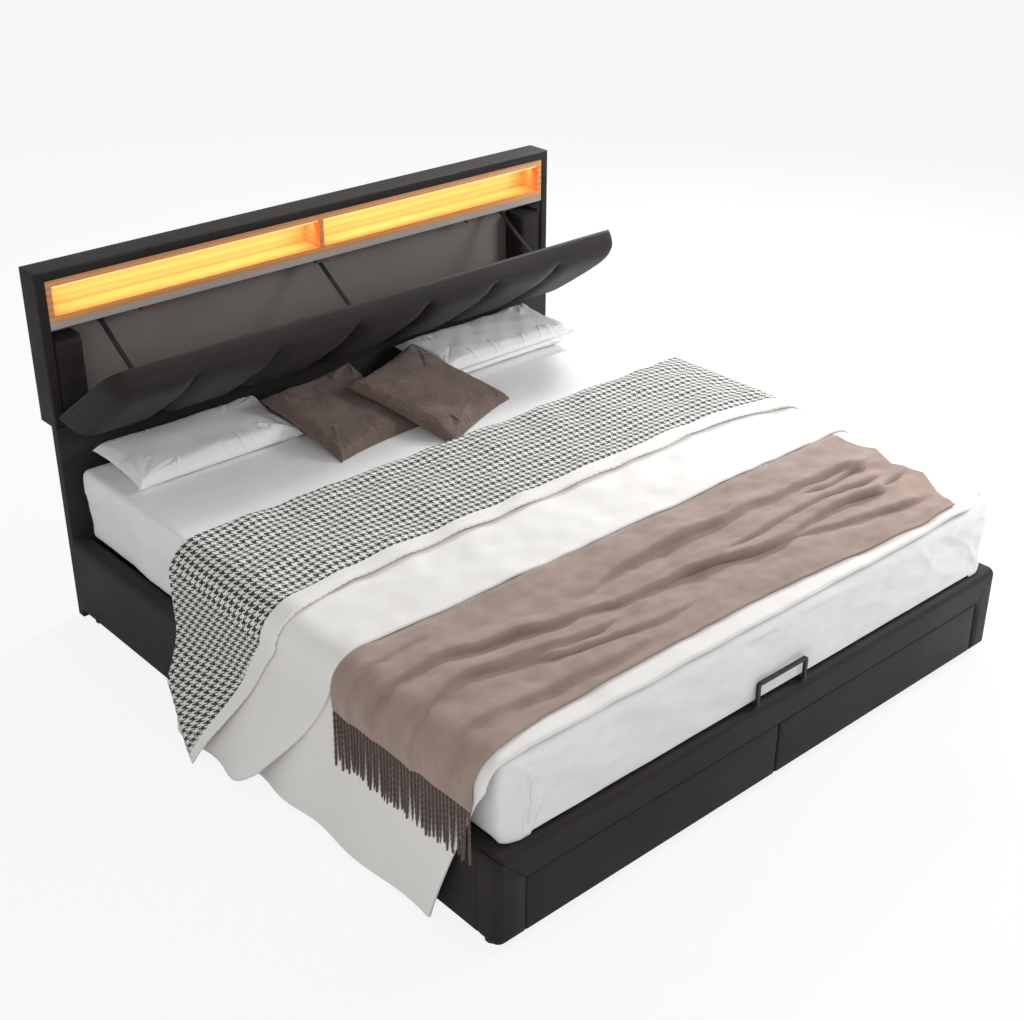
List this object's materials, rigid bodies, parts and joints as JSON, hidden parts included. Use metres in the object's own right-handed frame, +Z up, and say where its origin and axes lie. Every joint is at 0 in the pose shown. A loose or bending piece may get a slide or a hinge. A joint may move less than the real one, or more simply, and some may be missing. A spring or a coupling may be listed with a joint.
{
  "type": "upholstered bed",
  "caption": "Upholstered double bed with a lift-up slatted platform, foot drawers and a headboard with lit cubbies and a padded drop-down flap.",
  "frame": {"origin": "on the floor under the middle of the base, at the underside of the centre glide", "axes": "+X to the right seen from the foot end, +Y towards the headboard, +Z up"},
  "size_m": [2.3036, 2.18, 1.188],
  "materials": {
    "upholstery": "woven, matt",
    "lining_grey": "woven, matt",
    "plywood": "raw, sanded",
    "oak_trim": "oiled",
    "black_steel": "powder coat, satin",
    "zinc_steel": "zinc plated",
    "black_plastic": "moulded",
    "light_strip": "diffuser",
    "white_cotton": "percale",
    "check_cotton": "houndstooth weave",
    "fleece": "brushed",
    "cushion_cloth": "embossed",
    "webbing": "woven strap",
    "catch_brown": "moulded"
  },
  "bodies": {
    "frame": {"side_rail_covers": "upholstery", "foot_rail_cover": "upholstery", "rail_boards": "plywood", "floor_glides": "black_plastic", "corner_angles": "zinc_steel", "frame_bolts": "zinc_steel", "drawer_bay_boards": "plywood", "drawer_runner_channels": "zinc_steel", "rail_ledges_and_rests": "black_steel", "storage_floor_panels": "plywood", "centre_beam": "plywood", "centre_partition": "plywood", "lift_base_plates": "black_steel", "gas_spring_cylinders": "black_steel", "headboard_boards": "plywood", "headboard_back_board": "plywood", "headboard_surround": "upholstery", "cubby_box": "oak_trim", "cubby_divider": "oak_trim", "light_strips": "light_strip", "shelf_band": "lining_grey", "compartment_lining": "lining_grey", "side_blocks": "upholstery", "flap_catches": "catch_brown", "headboard_legs": "upholstery", "headboard_lower_panel": "upholstery", "flap_hinge_fixed_leaf": "black_steel", "stay_shelf_plates": "black_steel", "flap_stays": "webbing"},
    "rear_links": {"rear_links": "black_steel"},
    "front_links": {"front_links": "black_steel"},
    "gas_spring_rods": {"gas_spring_rods": "zinc_steel"},
    "platform": {"platform_frame": "black_steel", "lift_arms": "black_steel", "slats": "plywood", "slat_caps": "black_plastic", "pull_handle": "black_steel", "mattress": "white_cotton", "duvet_top": "white_cotton", "duvet_folded_layers": "check_cotton", "duvet_sides_left": "white_cotton", "duvet_side_right": "white_cotton", "throw": "fleece", "throw_fringe": "fleece", "pillow_left": "white_cotton", "pillows_right": "white_cotton", "cushion_left": "cushion_cloth", "cushion_right": "cushion_cloth"},
    "flap": {"flap_board": "plywood", "flap_pad": "upholstery", "flap_hinge_moving_leaf": "black_steel", "stay_board_plates": "black_steel"},
    "drawer_left": {"drawer_front_board_left": "plywood", "drawer_front_cover_left": "upholstery", "drawer_box_left": "plywood", "drawer_runner_bars_left": "zinc_steel"},
    "drawer_right": {"drawer_front_board_right": "plywood", "drawer_front_cover_right": "upholstery", "drawer_box_right": "plywood", "drawer_runner_bars_right": "zinc_steel"}
  },
  "joints": [
    {"name": "platform_lift", "type": "hinge", "parent": "frame", "child": "rear_links", "pos_m": [0, 0.651, 0.1], "axis": [1, 0, 0], "range_deg": [0, 40.8]},
    {"name": "platform_pivot", "type": "hinge", "parent": "rear_links", "child": "platform", "pos_m": [0, 0.715, 0.258], "axis": [1, 0, 0], "range_deg": [-69.5, 0]},
    {"name": "front_link_pivot", "type": "hinge", "parent": "frame", "child": "front_links", "pos_m": [0, 0.55, 0.081], "axis": [1, 0, 0], "range_deg": [0, 37]},
    {"name": "gas_spring_stroke", "type": "slide", "parent": "frame", "child": "gas_spring_rods", "axis": [0, 1, 0], "range_m": [0, 0.0325]},
    {"name": "flap_hinge", "type": "hinge", "parent": "frame", "child": "flap", "pos_m": [0, 1.035, 0.726], "axis": [-1, 0, 0], "range_deg": [0, 55], "deforming": ["flap_stays"]},
    {"name": "drawer_left_slide", "type": "slide", "parent": "frame", "child": "drawer_left", "axis": [0, -1, 0], "range_m": [0, 0.35]},
    {"name": "drawer_right_slide", "type": "slide", "parent": "frame", "child": "drawer_right", "axis": [0, -1, 0], "range_m": [0, 0.35]}
  ],
  "couplings": [
    {"joint": "platform_pivot", "follows": "platform_lift", "ratio": -1.6868},
    {"joint": "front_link_pivot", "follows": "platform_lift", "ratio": 0.88874},
    {"joint": "gas_spring_stroke", "follows": "platform_lift", "m_per_rad": 0.04501}
  ]
}
